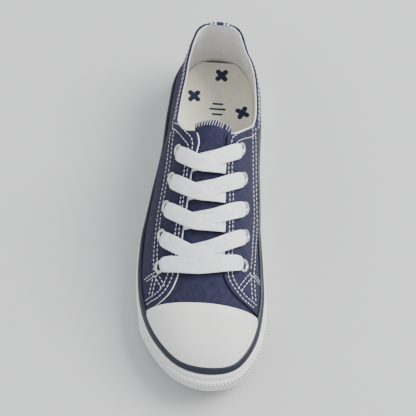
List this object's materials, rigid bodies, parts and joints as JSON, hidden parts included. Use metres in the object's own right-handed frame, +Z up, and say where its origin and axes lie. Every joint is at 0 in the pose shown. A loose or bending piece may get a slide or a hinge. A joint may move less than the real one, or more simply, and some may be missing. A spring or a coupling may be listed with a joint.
{
  "type": "canvas sneaker",
  "caption": "Low lace-up canvas sneaker for the right foot, with rubber toe cap, wrapped rubber sole edge with a dark stripe, metal eyelets and flat laces.",
  "frame": {"origin": "on the floor, under the middle of the shoe's bounding box", "axes": "+Z up; the toe points to -Y and the heel to +Y; +X is the inner (big toe) side of the foot"},
  "size_m": [0.0915, 0.2483, 0.0951],
  "materials": {
    "canvas": "matt plain-weave cotton canvas, navy",
    "white_rubber": "satin white vulcanised rubber",
    "stripe_rubber": "slightly glossy dark navy rubber",
    "sole_rubber": "matt off-white rubber",
    "sock_cloth": "matt cream cotton twill",
    "lace_cotton": "matt white flat-woven cotton",
    "eyelet_metal": "nickel-plated steel"
  },
  "bodies": {
    "root": {"outsole": "sole_rubber", "foxing": "white_rubber", "side_stripe": "stripe_rubber", "toe_bumper": "white_rubber", "toe_cap": "white_rubber", "upper": "canvas", "insole": "sock_cloth", "tongue": "canvas", "lace_bar": "lace_cotton", "lace_crossing_1": "lace_cotton", "lace_crossing_2": "lace_cotton", "lace_crossing_3": "lace_cotton", "lace_crossing_4": "lace_cotton", "eyelet_outer_1": "eyelet_metal", "eyelet_outer_2": "eyelet_metal", "eyelet_outer_3": "eyelet_metal", "eyelet_outer_4": "eyelet_metal", "eyelet_outer_5": "eyelet_metal", "eyelet_inner_1": "eyelet_metal", "eyelet_inner_2": "eyelet_metal", "eyelet_inner_3": "eyelet_metal", "eyelet_inner_4": "eyelet_metal", "eyelet_inner_5": "eyelet_metal"}
  },
  "joints": []
}
